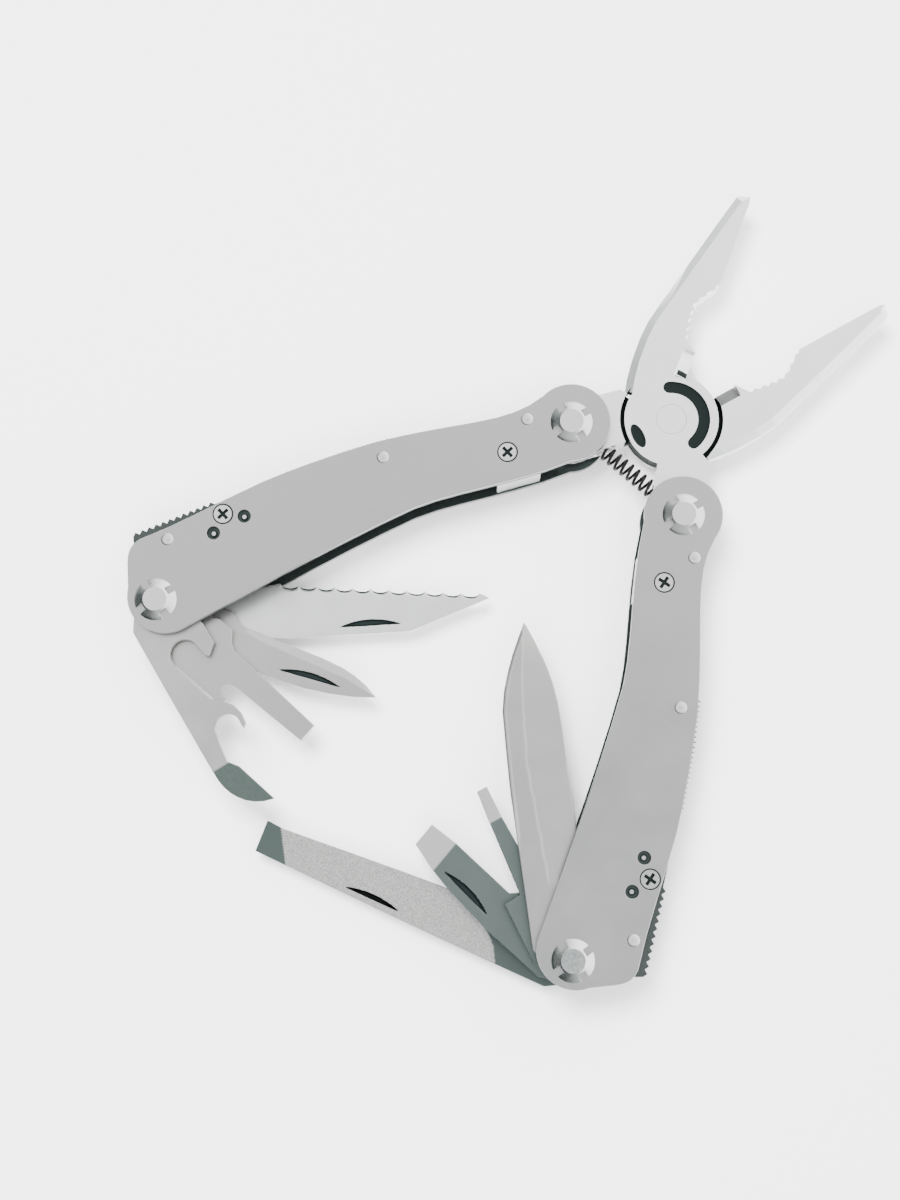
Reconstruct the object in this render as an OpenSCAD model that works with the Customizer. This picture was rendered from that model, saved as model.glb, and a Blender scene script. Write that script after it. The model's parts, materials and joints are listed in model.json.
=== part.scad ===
// Folding pliers multi tool, lying open and flat: pliers head, two handles, eight folding implements.
// Millimetres, +Z up, +Y towards the jaws. Z = 0 is the plane under the four lower bolt heads.
// A handle's own plane has U from its jaw pivot to its implement pivot and V towards the implements.

/* [Pliers head] */
// Length of a jaw from the pliers pivot to its tip
jaw_len = 49.5; // [44:0.5:56]
// Angle between the jaws as the tool lies
jaw_open = 40.7; // [20:0.1:44]
// Thickness of the pliers head
head_t = 5.4; // [4.4:0.1:6]
// Thickness left at the bevelled outer edge of a jaw
jaw_edge_t = 3.2; // [2.4:0.1:4]
// Radius of the round lap joint
disc_r = 9.5; // [8.5:0.1:10]
// Radius of the pliers rivet
rivet_r = 3; // [2:0.1:4]
// Distance from the pliers rivet to a handle's jaw pivot
tang_len = 20.4; // [19.6:0.1:22]
// Radius of the tang's round end
tang_r = 6.6; // [5.6:0.1:7.2]

/* [Handles] */
// Distance from a handle's jaw pivot to its implement pivot
span = 90; // [80:1:110]
// Angle of each handle from the centre line as the tool lies
splay = 26; // [20:1:32]
// Radius of a handle's round neck
neck_r = 7.8; // [7.2:0.1:8.6]
// Radius of the round corner at a handle's butt
butt_r = 7.6; // [7:0.1:8.4]
// Height of the channel between the two liners
channel_h = 8.8; // [8.8:0.1:11]
// Thickness of a liner plate
liner_t = 0.8; // [0.6:0.1:1.2]
// Thickness of a cover plate
cover_t = 1.2; // [1:0.1:1.8]

/* [Fasteners] */
// Radius of both kinds of pivot bolt
bolt_r = 2.5; // [2:0.1:2.8]
// Height of a pivot bolt's raised head
bolt_head_h = 1.2; // [0.8:0.1:1.6]
// Radius of a pivot bolt's head where it meets the cover
bolt_head_r = 4.2; // [3.6:0.1:4.8]
// Radius of the flat round top of a pivot bolt's head
bolt_top_r = 2.35; // [2:0.05:2.8]
// Radius of a cross-head screw's head
screw_head_r = 2; // [1.6:0.1:2.4]
// Radius of the long screw that the lock bar turns on
lock_screw_r = 1.25; // [1:0.05:1.5]

/* [Implements] */
// Length of the knife blade from its pivot
knife_len = 66.6; // [58:0.2:67]
// Length of the file from its pivot
file_len = 65.6; // [56:0.2:67]
// Length of the serrated blade from its pivot
serrated_len = 66.1; // [56:0.1:67]
// Length of the pen blade from its pivot
pen_len = 47.3; // [40:0.1:50]
// Length of the can opener from its pivot
opener_len = 45.8; // [42:0.1:46]
// Length of the left handle's flat driver
flat_len = 39.8; // [34:0.2:44]
// Length of the right handle's small driver
small_len = 37.4; // [32:0.2:44]
// Length of the right handle's large driver
large_len = 37.8; // [34:0.2:44]
// Radius of an implement's round base
base_r = 5.4; // [4.6:0.1:5.4]

/* [Return spring] */
// Outer radius of the coil
coil_r = 1.85; // [1.4:0.05:1.9]
// Radius of its wire
wire_r = 0.32; // [0.2:0.02:0.36]
// Number of turns
coil_turns = 8; // [5:1:9]

/* [Hidden] */
$fn = 48;

// Clearances
run = 0.06;      // radial, between a shaft and the piece that turns on it
slip = 0.03;     // radial, between a fixed pin and its hole
leaf = 0.05;     // between flat faces that slide
mating = 0.05;   // from each jaw's gripping face to the centre line when closed
lap = 0.9;       // between a lap disc and the other jaw's hollow round it
cut = 1;         // how far a cutting shape passes the face it cuts

// Heights
z_cover = bolt_head_h;
z_liner = z_cover + cover_t;
z_channel = z_liner + liner_t;
z_top_liner = z_channel + channel_h;
z_top_cover = z_top_liner + liner_t;
z_top = z_top_cover + cover_t;
z_mid = z_channel + channel_h / 2;

// Colours
satin = [0.74, 0.75, 0.74];
bright = [0.83, 0.83, 0.82];
grey = [0.45, 0.49, 0.48];
black = [0.08, 0.08, 0.08];

// Where the jaw pivots lie: the tangs close by half the jaw angle each
tang_rest = 45.4;
tang_closed = tang_rest - jaw_open / 2;
pivot_x = tang_len * sin(tang_rest);
pivot_y = -tang_len * cos(tang_rest);
handle_turn = 270 - splay;

// Rest angles of the implements, counted from folded
opener_at = 82;
flat_at = 64.4;
pen_at = 46.2;
serrated_at = 21.8;
knife_at = 22.4;
small_at = 42.4;
large_at = 64.5;
file_at = 83.1;

// A point of a handle's plane, and of an implement's, in the tool's plane (left side)
function turned(p, a) = [p[0] * cos(a) - p[1] * sin(a), p[0] * sin(a) + p[1] * cos(a)];
function handle_point(p) = turned(p, handle_turn) + [-pivot_x, pivot_y];
function implement_point(p, at) = handle_point(turned([p[0], -p[1]], 180 - at) + [span, 0]);

// The origin is midway between the highest jaw tip and the lowest corner of the file
jaw_tip = [-0.4, jaw_len];
file_corner = [file_len + 0.3, 3.3];
frame_y = (turned(jaw_tip, jaw_open / 2)[1] + implement_point(file_corner, file_at)[1]) / 2;

// A cubic curve's points, without its last one, and the points of an arc
function curve(a, b, c, d, n) = [
    for (i = [0:n - 1])
        let (t = i / n, s = 1 - t)
            s * s * s * a + 3 * s * s * t * b + 3 * s * t * t * c + t * t * t * d
];
function arc(centre, r, from, to, n) = [
    for (i = [0:n])
        let (a = from + (to - from) * i / n) centre + r * [cos(a), sin(a)]
];
// A saw edge from a to b whose points stand h to its right
function saw(a, b, n, h) =
    let (way = (b - a) / norm(b - a), side = [way[1], -way[0]])
        [for (i = [0:2 * n]) a + (b - a) * i / (2 * n) + side * (i % 2) * h];

module on_tool() {
    translate([0, -frame_y, 0])
        children();
}

// Puts a handle's plane in place: hand is "left" or "right"
module on_handle(hand) {
    on_tool()
        mirror([hand == "right" ? 1 : 0, 0, 0])
            translate([-pivot_x, pivot_y, 0])
                rotate(handle_turn)
                    children();
}

// Puts a jaw's own plane in place, with the left jaw's gripping face on X = 0
module on_jaw(hand) {
    on_tool()
        mirror([hand == "right" ? 1 : 0, 0, 0])
            rotate(jaw_open / 2)
                children();
}

// ---------------------------------------------------------------- pliers head

grip_from = 17;          // where the oval pipe grip starts
grip_to = 29.3;          // and ends
grip_depth = 2.4;        // its depth at the cutter's end
grip_bulge = 0.8;        // how much deeper it is in the middle
grip_level = 0.62;       // the share of its length after which it runs out to the nose
grip_teeth = 7;
tooth_h = 0.6;
cutter_from = 8.7;       // the wire cutter's two ends
cutter_to = 14.7;
nose_share = jaw_len - 49.5;

function grip_edge() = [
    for (i = [0:2 * grip_teeth])
        let (t = i / (2 * grip_teeth), out = max(0, (t - grip_level) / (1 - grip_level)))
            [-mating - grip_depth * (1 - out) - grip_bulge * sin(180 * t) - tooth_h * (1 - i % 2),
             grip_from + (grip_to - grip_from) * t]
];
inner_edge = concat(
    [[-3.6, 8], [-3.6, cutter_from], [-mating, cutter_from], [-mating, cutter_to], [-2.8, 16.6]],
    grip_edge(),
    [[-mating, grip_to + 0.6], [-mating, jaw_len - 0.8], jaw_tip]
);
// Points of a jaw's outer edge, each with the width of the step that is cut below it there
outer_edge = [
    [-2.2, 49.6 + nose_share, 0.3], [-2.9, 49 + nose_share, 0.6], [-4.6, 43 + nose_share, 1.3],
    [-7.6, 31.8, 2.2], [-10.2, 22, 2.4], [-11.2, 18, 2.4], [-11.6, 14, 2.4], [-11.6, 9, 2.4],
    [-11.3, 5.5, 1.8], [-10.8, 2.5, 0.9]
];
module blade_shape(bevel) {
    polygon(concat(
        inner_edge,
        [for (p = outer_edge) [p[0] + bevel * p[2], p[1]]],
        [[-7.5, 2.5], [-6, 5]]
    ));
}

// The upper bevel along the outer edge: one sloping cut for each straight stretch of it
bevel_w = 1.5;
module edge_bevels() {
    slope = atan((head_t - jaw_edge_t) / 2 / bevel_w);
    for (i = [0:len(outer_edge) - 2])
        let (p = outer_edge[i], way = outer_edge[i + 1] - p)
            translate([p[0], p[1], z_mid + jaw_edge_t / 2])
                rotate(atan2(way[1], way[0]))
                    rotate([slope, 0, 0])
                        translate([-cut, -2 * cut, 0])
                            cube([norm([way[0], way[1]]) + 2 * cut, 2 * disc_r, head_t]);
}

// The tang: its end circle, and the web from the disc to it
tang_end = tang_len * [sin(tang_closed), -cos(tang_closed)];
module tang_shape() {
    translate(tang_end)
        circle(tang_r);
    polygon([
        [7.8, -4.5], [10.4, -6], [11.5, -10.2], tang_end + tang_r * [cos(25), sin(25)],
        tang_end, tang_end + tang_r * [-1, 0], [1.1, -13.7], [0.3, -9.2], [0, -4]
    ]);
}

// A long curved recess in the upper disc's face, and a small oval one below it
recess_depth = 0.3;
band_r = 6.6;
band_w = 1.2;
module disc_recesses() {
    translate([0, 0, z_mid + head_t / 2 - recess_depth])
        linear_extrude(recess_depth + cut)
            rotate(-jaw_open / 2) {
                polygon(concat(
                    arc([0, 0], band_r - band_w, 134, -8, 20),
                    arc(band_r * [cos(-8), sin(-8)], band_w, 172, 352, 6),
                    arc([0, 0], band_r + band_w, -8, 134, 20),
                    arc(band_r * [cos(134), sin(134)], band_w, 134, 314, 6)
                ));
                polygon([
                    for (a = [0:15:345])
                        [-2.9, -7] + turned([2.6 * cos(a), 1.2 * sin(a)], -24)
                ]);
            }
}

// The return spring lies across the tangs, in a pocket in each
spring_y = -13.3;
spring_end = 6.9;
pocket_end = spring_end + 0.3;
pocket_r = coil_r + 0.2;
module spring_pocket() {
    rotate(-jaw_open / 2)
        translate([0, spring_y, z_mid])
            rotate([0, 90, 0])
                cylinder(h = pocket_end, r = pocket_r);
}

// The space below the jaw's nose, which thins towards its tip so a folded blade can lie there
nose_from = 26;
nose_to = 38;
module nose_taper() {
    translate([-2 * disc_r, 0, z_mid])
        mirror([0, 0, 1])
            rotate([90, 0, 90])
                linear_extrude(4 * disc_r)
                    polygon([[nose_from, head_t / 2], [nose_to, jaw_edge_t / 2],
                             [jaw_len + cut, jaw_edge_t / 2], [jaw_len + cut, head_t],
                             [nose_from, head_t]]);
}

// The wire cutter: both faces are ground away to a narrow edge on the mating line
cutter_w = 2.6;
cutter_edge_t = 0.6;
module cutter_bevels() {
    for (side = [0, 1])
        translate([0, cutter_from, z_mid])
            mirror([0, 0, side])
                rotate([-90, 0, 0])
                    linear_extrude(cutter_to - cutter_from)
                        polygon([[-cutter_w, -head_t / 2], [0, -cutter_edge_t / 2], [cut, -cutter_edge_t / 2],
                                 [cut, -head_t], [-cutter_w, -head_t]]);
}

module jaw(hand) {
    up = hand == "left" ? 1 : -1;
    color(bright)
        on_jaw(hand)
            difference() {
                union() {
                    translate([0, 0, z_mid + up * (head_t / 4 + leaf / 2)])
                        linear_extrude(head_t / 2 - leaf, center = true) {
                            circle(disc_r);
                            blade_shape(1);
                            tang_shape();
                        }
                    translate([0, 0, z_mid - head_t / 2])
                        linear_extrude(head_t)
                            difference() {
                                union() {
                                    blade_shape(1);
                                    tang_shape();
                                }
                                circle(disc_r + lap);
                            }
                    translate([0, 0, z_mid - jaw_edge_t / 2])
                        linear_extrude((head_t + jaw_edge_t) / 2)
                            difference() {
                                blade_shape(0);
                                circle(disc_r + lap);
                            }
                }
                cylinder(h = z_top, r = rivet_r + run);
                edge_bevels();
                nose_taper();
                cutter_bevels();
                if (hand == "left")
                    disc_recesses();
                translate(concat(tang_end, 0))
                    cylinder(h = z_top, r = bolt_r + run);
                spring_pocket();
            }
}

module pliers_rivet() {
    color(bright)
        on_tool()
            translate([0, 0, z_mid - head_t / 2])
                cylinder(h = head_t, r = rivet_r);
}

// A wire swept along a helix whose axis is X
wire_sides = 8;
turn_steps = 20;
coil_mean = coil_r - wire_r;
coil_run = 2 * (spring_end - wire_r - 0.1);
module return_spring() {
    steps = coil_turns * turn_steps;
    pitch = coil_run / coil_turns;
    rings = [
        for (i = [0:steps])
            let (a = 360 * i / turn_steps, x = -coil_run / 2 + pitch * i / turn_steps)
                [for (k = [0:wire_sides - 1])
                    let (b = 360 * k / wire_sides, r = coil_mean + wire_r * cos(b))
                        [x + wire_r * sin(b), r * cos(a), r * sin(a)]]
    ];
    points = [for (ring = rings) for (p = ring) p];
    sides = [
        for (i = [0:steps - 1])
            for (k = [0:wire_sides - 1])
                let (n = (k + 1) % wire_sides)
                    [i * wire_sides + k, i * wire_sides + n,
                     (i + 1) * wire_sides + n, (i + 1) * wire_sides + k]
    ];
    first = [for (k = [wire_sides - 1:-1:0]) k];
    last = [for (k = [0:wire_sides - 1]) steps * wire_sides + k];
    color(black)
        on_tool()
            translate([0, spring_y, z_mid])
                polyhedron(points, concat(sides, [first, last]), convexity = 10);
}

// -------------------------------------------------------------- handle plates

butt = [span - 2.1, 0];          // centre of the butt's round corner
heel = [span - 1.6, -12.5];      // the butt's sharp back corner
waist = [0.4 * span, 3.4];       // narrowest point of the inner edge
shoulder = [0.42 * span, -12];   // where the back edge turns straight
belly = [0.68 * span, -13.5];    // its furthest point from the pivot line

function back_edge() = concat(
    curve([3, -7.2], [12, -4.6], [20, -9.2], shoulder, 8),
    curve(shoulder, shoulder + [10, -1.1], belly - [6, 0], belly, 4),
    curve(belly, belly + [8, 0.1], heel - [8, -0.4], heel, 4)
);
function inner_side() = concat(
    curve(butt + [0, butt_r], butt + [-15, butt_r - 1.5], waist + [16, 0.4], waist, 7),
    curve(waist, waist - [9, -0.1], [15, 7.1], [3, 7.2], 6)
);
module plate_shape() {
    circle(neck_r);
    translate(butt)
        circle(butt_r);
    polygon(concat(
        back_edge(), curve(heel, heel + [2.3, 0.3], heel + [3.2, 1.6], heel + [4, 3.5], 5),
        [heel + [4, 3.5], butt + butt_r * [cos(-35), sin(-35)], butt],
        inner_side(), [[3, 7.2], [0, 0]]
    ));
}

// Fine serrations on the liners' back edge, in the middle of the handle
module thumb_serrations() {
    from = shoulder + [-3, 0.75];
    middle = shoulder + [6, -0.35];
    to = shoulder + [19, -1.1];
    polygon(concat(saw(from, middle, 9, 0.75), [middle + [0, 1], from + [0, 1]]));
    polygon(concat(saw(middle, to, 13, 0.75), [to + [0, 1], middle + [0, 1]]));
}

jaw_pivot = [0, 0];
tool_pivot = [span, 0];
neck_screw = [14.2, 0.5];
lock_screw = [span - 18.8, -10.6];
lock_pins = [[span - 22.5, -8.5], [span - 15.6, -7.8]];
rivets = [[7.9, -4.1], [0.416 * span, -8.5], [span - 6.7, -10.3]];
pin_r = 0.7;
pin_hole_r = 1.3;
neck_screw_r = 0.9;
rivet_shank_r = 0.8;
screw_sink = 0.9;
dome_r = 1.25;
dome_h = 0.4;

module hole(at, r) {
    translate(concat(at, -cut))
        cylinder(h = z_top + 2 * cut, r = r);
}

module plate_holes() {
    hole(jaw_pivot, bolt_r + slip);
    hole(tool_pivot, bolt_r + slip);
    hole(lock_screw, lock_screw_r + slip);
    hole(neck_screw, neck_screw_r + slip);
    for (p = rivets)
        hole(p, rivet_shank_r + slip);
}

// Front plates look up, back plates down: side is "front" or "back"
module flipped(side) {
    if (side == "front")
        children();
    else
        translate([0, 0, 2 * z_mid])
            mirror([0, 0, 1])
                children();
}

module cover(hand, side) {
    color(satin)
        on_handle(hand)
            flipped(side)
                difference() {
                    translate([0, 0, z_top_cover])
                        linear_extrude(cover_t)
                            plate_shape();
                    plate_holes();
                    for (p = lock_pins)
                        hole(p, pin_hole_r);
                    translate(concat(neck_screw, z_top - screw_sink))
                        cylinder(h = cover_t, r = screw_head_r + slip);
                    translate(concat(lock_screw, z_top - screw_sink))
                        cylinder(h = cover_t, r = screw_head_r + slip);
                }
}

module liner(hand, side) {
    color(grey)
        on_handle(hand)
            flipped(side)
                difference() {
                    translate([0, 0, z_top_liner])
                        linear_extrude(liner_t) {
                            plate_shape();
                            thumb_serrations();
                        }
                    plate_holes();
                    for (p = lock_pins)
                        hole(p, pin_r + slip);
                }
}

// The block that closes the channel on the inner side of the neck
module neck_block(hand) {
    color(bright)
        on_handle(hand)
            translate([0, 0, z_channel])
                linear_extrude(channel_h)
                    polygon([[9.5, 5.2], [18.5, 4.7], [18.5, 5.4], [9.5, 6.6]]);
}

// ------------------------------------------------------------------ fasteners

stub_r = 1.6;
stub_h = 0.7;

// A low cone with four notches across its corners
module notched_head(turn) {
    notch_w = 1.5;
    notch_from = 2.7;
    difference() {
        cylinder(h = bolt_head_h, r1 = bolt_head_r, r2 = bolt_top_r);
        for (a = [0:90:270])
            rotate(a + turn)
                translate([notch_from, -notch_w / 2, -cut])
                    cube([bolt_head_r, notch_w, bolt_head_h + 2 * cut]);
    }
}

function head_turn(hand) = hand == "left" ? 11 : 41;

module pivot_bolt(hand, at) {
    color(bright)
        on_handle(hand)
            translate(at) {
                translate([0, 0, z_top])
                    notched_head(head_turn(hand));
                translate([0, 0, z_cover])
                    cylinder(h = z_top - z_cover, r = bolt_r);
                translate([0, 0, z_cover - stub_h])
                    cylinder(h = stub_h, r = stub_r);
            }
}

module pivot_nut(hand, at) {
    color(bright)
        on_handle(hand)
            translate(at)
                difference() {
                    translate([0, 0, z_cover])
                        mirror([0, 0, 1])
                            notched_head(head_turn(hand));
                    translate([0, 0, z_cover - stub_h])
                        cylinder(h = stub_h + cut, r = stub_r + slip);
                }
}

module ring(z, h, r) {
    translate([0, 0, z])
        difference() {
            cylinder(h = h, r = r);
            translate([0, 0, -cut])
                cylinder(h = h + 2 * cut, r = bolt_r + slip);
        }
}

// Two spacing rings hold the head in the middle of the channel
neck_ring_h = (channel_h - head_t) / 2 - 2 * leaf;
module neck_washers(hand) {
    color(bright)
        on_handle(hand) {
            ring(z_channel + leaf, neck_ring_h, 5.6);
            ring(z_top_liner - leaf - neck_ring_h, neck_ring_h, 5.6);
        }
}

module cross_recess(r) {
    for (a = [0, 90])
        rotate(a + 20)
            translate([-r, -r / 4, -0.5])
                cube([2 * r, r / 2, 0.5 + cut]);
}

module screw_head() {
    difference() {
        cylinder(h = screw_sink, r = screw_head_r);
        translate([0, 0, screw_sink])
            cross_recess(0.65 * screw_head_r);
    }
}

module lock_screw_piece(hand) {
    color(bright)
        on_handle(hand)
            translate(lock_screw) {
                translate([0, 0, z_top - screw_sink])
                    screw_head();
                translate([0, 0, z_cover])
                    cylinder(h = z_top - screw_sink - z_cover, r = lock_screw_r);
            }
}

// Short screws that hold each cover to its liner at the neck
module neck_screws(hand) {
    color(bright)
        on_handle(hand)
            for (side = ["front", "back"])
                flipped(side)
                    translate(neck_screw) {
                        translate([0, 0, z_top - screw_sink])
                            screw_head();
                        translate([0, 0, z_top_liner])
                            cylinder(h = z_top - screw_sink - z_top_liner, r = neck_screw_r);
                    }
}

// Short domed rivets that hold each cover to its liner
module dome_rivets(hand) {
    color(bright)
        on_handle(hand)
            for (side = ["front", "back"])
                flipped(side)
                    for (p = rivets)
                        translate(p) {
                            translate([0, 0, z_top_liner])
                                cylinder(h = z_top - z_top_liner, r = rivet_shank_r);
                            translate([0, 0, z_top])
                                cylinder(h = dome_h, r1 = dome_r, r2 = dome_r / 2);
                        }
}

// Two pins across the channel that the lock bar stops on, seen at the bottom of the cover's holes
module lock_pins_piece(hand) {
    reach = liner_t + 0.4;
    color(bright)
        on_handle(hand)
            for (p = lock_pins)
                translate(concat(p, z_channel - reach))
                    cylinder(h = channel_h + 2 * reach, r = pin_r);
}

// A spring-steel bar behind the implements, toothed where the thumb presses it
module lock_bar(hand) {
    tail = lock_screw + [-3.6, -2.9];
    tip = [span - 0.4, -13.9];
    teeth_from = tail + 0.2 * (tip - tail);
    color(grey)
        on_handle(hand)
            translate([0, 0, z_channel + leaf])
                difference() {
                    linear_extrude(channel_h - 2 * leaf) {
                        polygon(concat(
                            [tail],
                            saw(teeth_from, tip, 12, 0.7),
                            [[span, -12.4], [span - 1.2, -7.9], [span - 7, -8.1], [span - 11, -9.3],
                             lock_screw + [3, 1.3], lock_screw + [-2.4, 0.8], tail + [0, 2.9]]
                        ));
                        translate(lock_screw)
                            circle(lock_screw_r + 1);
                    }
                    hole(lock_screw, lock_screw_r + run);
                }
}

// ------------------------------------------------------------------ implements

// Each implement's own plane has X along it and Y towards the handle's inner side when folded.
// Layers are counted from the bottom of the channel: spacing ring or implement, each leaf apart.
// The highest ring takes up what the other layers leave of the channel.
top_ring = 6;
function total(list, n = 0) = n == len(list) ? 0 : list[n] + total(list, n + 1);
function filled(list) = [
    for (i = [0:len(list) - 1])
        i == top_ring ? channel_h - (len(list) + 1) * leaf - total(list) : list[i]
];
left_layers = filled([1.4, 1.2, 0.2, 1.2, 0.2, 1.8, 0, 1.6]);
right_layers = filled([0, 1.25, 0.45, 2, 0.3, 2, 0, 1.6]);
function under(layers, n) = n == 0 ? leaf : under(layers, n - 1) + layers[n - 1] + leaf;
function layer_z(layers, n) = z_channel + under(layers, n);

module implement(hand, layers, n, at, tone) {
    color(tone)
        on_handle(hand)
            translate([span, 0, layer_z(layers, n)])
                rotate(180 - at)
                    mirror([0, 1, 0])
                        difference() {
                            union() {
                                cylinder(h = layers[n], r = base_r);
                                linear_extrude(layers[n])
                                    children();
                            }
                            hole([0, 0], bolt_r + run);
                        }
}

module tool_washers(hand, layers) {
    color(bright)
        on_handle(hand)
            translate([span, 0, 0])
                for (n = [0:2:6])
                    if (layers[n] > 0)
                        ring(layer_z(layers, n), layers[n], 5);
}

module can_opener() {
    tip = opener_len;
    implement("left", left_layers, 7, opener_at, bright)
        polygon(concat(
            [[0, base_r], [3, 7.3], [15, 7.5], [tip - 11, 7.7]],
            curve([tip - 10.4, 7.65], [tip - 5.8, 7.9], [tip - 1.2, 5.6], [tip, 0.1], 8),
            [[tip, 0], [tip - 9, 2.7], [tip - 11, 4.2], [tip - 14.4, 3.8], [28.2, 3.2]],
            arc([28.9, 0.5], 2.4, 140, 285, 9),
            [[30.9, -1.8], [30.3, -2.7], [28, -3], [25.9, -2.5], [23.9, -0.9], [22.3, 0.8],
             [20.7, 1.4], [13.4, 3.5]],
            arc([12, 0.7], 2.9, 80, 275, 12),
            [[14.3, -2.6], [14.9, -3.2], [13, -5.5], [8.8, -5.5], [3, -4.4], [0, -4]]
        ));
}

module flat_driver() {
    implement("left", left_layers, 5, flat_at, bright)
        polygon(concat(
            [[0, base_r], [3, 7.3], [22.6, 7.2], [23.2, 5.7]],
            arc([22.5, 4.1], 1.5, 80, 270, 8),
            [[flat_len, 2], [flat_len, -2], [17.7, -2.7], [16.3, -3.5], [14.7, -5.6],
             [11.3, -5.5], [9.8, -4.8], [3, -4.4], [0, -4]]
        ));
}

module pen_blade() {
    tip = pen_len;
    implement("left", left_layers, 3, pen_at, bright)
        polygon(concat(
            [[0, base_r], [3, 6.4], [12, 6], [18, 4.9]],
            curve([tip - 19, 4.8], [tip - 12, 4.6], [tip - 6, 3.2], [tip, 0.5], 6),
            curve([tip, 0.5], [tip - 3.5, -1.2], [tip - 6.5, -2.4], [tip - 13, -2.6], 5),
            [[tip - 13, -2.6], [17, -2.2], [14, -4.2], [3, -4.4], [0, -4]]
        ));
}

module serrated_blade() {
    tip = serrated_len;
    heel_at = 24;
    teeth = 11;
    tooth_depth = 0.8;
    edge_from = [tip - 2, -0.6];
    edge_to = [heel_at, -3.7];
    implement("left", left_layers, 1, serrated_at, bright)
        difference() {
            polygon([
                [0, base_r], [3, 7.3], [23, 7.5], [tip - 16, 6.7], [tip - 4, 2], [tip, 0.4],
                edge_from, edge_to, [20, -3], [14, -4.3], [3, -4.4], [0, -4]
            ]);
            for (i = [0.5:teeth])
                let (p = edge_to + (edge_from - edge_to) * i / teeth)
                    translate(p + [0, -1.5])
                        circle(1.5 + tooth_depth);
        }
}

module knife_blade() {
    tip = knife_len;
    implement("right", right_layers, 7, knife_at, bright)
        polygon(concat(
            [[0, base_r], [3, 7.3], [24, 7.3], [tip - 33, 7.4]],
            curve([tip - 17, 6.7], [tip - 10.5, 4.9], [tip - 4.3, 1.9], [tip, 0], 6),
            curve([tip, 0], [tip - 4.5, -1.8], [tip - 10, -4.1], [tip - 21, -4.5], 6),
            [[30, -4.5], [15.5, -4.4], [14.5, -3.6], [3, -4.4], [0, -4]]
        ));
}

module small_driver() {
    implement("right", right_layers, 5, small_at, grey)
        polygon([
            [0, base_r], [3, 6.9], [16.7, 6.6], [15.6, 3], [small_len - 6, 1.7], [small_len, 1.1],
            [small_len, -1.1], [small_len - 6.5, -0.9], [18, -1.3], [14, -4.4], [3, -4.4], [0, -4]
        ]);
}

module large_driver() {
    implement("right", right_layers, 3, large_at, grey)
        polygon([
            [0, base_r], [3, 6.8], [16, 6.4], [27.3, 5.1], [large_len - 5.5, 4.2], [large_len, 2.6],
            [large_len, -2.5], [large_len - 6, -2.7], [17.5, -2], [15, -4.4], [3, -4.4], [0, -4]
        ]);
}

module file() {
    implement("right", right_layers, 1, file_at, bright)
        polygon([
            [0, base_r], [3, 6.9], [13.5, 6.4], [34, 5.3], file_corner, [file_len - 0.4, -3.1],
            [file_len - 3, -2.8], [38, -3.7], [28, -3.9], [14, -4.4], [3, -4.4], [0, -4]
        ]);
}

// ------------------------------------------------------------------------ tree

jaw("left");  // left_jaw
jaw("right");  // right_jaw
pliers_rivet();
return_spring();

cover("left", "front");  // left_front_cover
liner("left", "front");  // left_front_liner
liner("left", "back");  // left_back_liner
cover("left", "back");  // left_back_cover
neck_block("left");  // left_neck_block
pivot_bolt("left", jaw_pivot);  // left_jaw_bolt
pivot_nut("left", jaw_pivot);  // left_jaw_nut
neck_washers("left");  // left_neck_washers
pivot_bolt("left", tool_pivot);  // left_tool_bolt
pivot_nut("left", tool_pivot);  // left_tool_nut
tool_washers("left", left_layers);  // left_tool_washers
lock_bar("left");  // left_lock_bar
lock_screw_piece("left");  // left_lock_screw
lock_pins_piece("left");  // left_lock_pins
neck_screws("left");  // left_neck_screws
dome_rivets("left");  // left_rivets
can_opener();
flat_driver();
pen_blade();
serrated_blade();

cover("right", "front");  // right_front_cover
liner("right", "front");  // right_front_liner
liner("right", "back");  // right_back_liner
cover("right", "back");  // right_back_cover
neck_block("right");  // right_neck_block
pivot_bolt("right", jaw_pivot);  // right_jaw_bolt
pivot_nut("right", jaw_pivot);  // right_jaw_nut
neck_washers("right");  // right_neck_washers
pivot_bolt("right", tool_pivot);  // right_tool_bolt
pivot_nut("right", tool_pivot);  // right_tool_nut
tool_washers("right", right_layers);  // right_tool_washers
lock_bar("right");  // right_lock_bar
lock_screw_piece("right");  // right_lock_screw
lock_pins_piece("right");  // right_lock_pins
neck_screws("right");  // right_neck_screws
dome_rivets("right");  // right_rivets
knife_blade();
small_driver();
large_driver();
file();
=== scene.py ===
import bmesh
import bpy
import json
import math
import numpy as np
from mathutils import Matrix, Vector


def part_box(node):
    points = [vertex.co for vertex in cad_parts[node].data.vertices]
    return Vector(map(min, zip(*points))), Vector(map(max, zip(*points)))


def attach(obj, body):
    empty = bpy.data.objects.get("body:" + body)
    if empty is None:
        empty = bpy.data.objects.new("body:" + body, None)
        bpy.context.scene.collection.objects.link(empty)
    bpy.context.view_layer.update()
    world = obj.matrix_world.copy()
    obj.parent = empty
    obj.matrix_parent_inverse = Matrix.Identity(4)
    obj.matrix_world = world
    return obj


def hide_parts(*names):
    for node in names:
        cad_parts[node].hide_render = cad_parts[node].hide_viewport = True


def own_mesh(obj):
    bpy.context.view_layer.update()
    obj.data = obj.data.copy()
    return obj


bl_info = {
    "name": "Folding Pliers Multi Tool",
    "version": (1, 0, 0),
    "blender": (4, 5, 0),
    "location": "View3D > Sidebar > Multi Tool",
    "description": "Builds a folding pliers multi tool with its finishes and a studio",
    "category": "Object",
}

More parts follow.
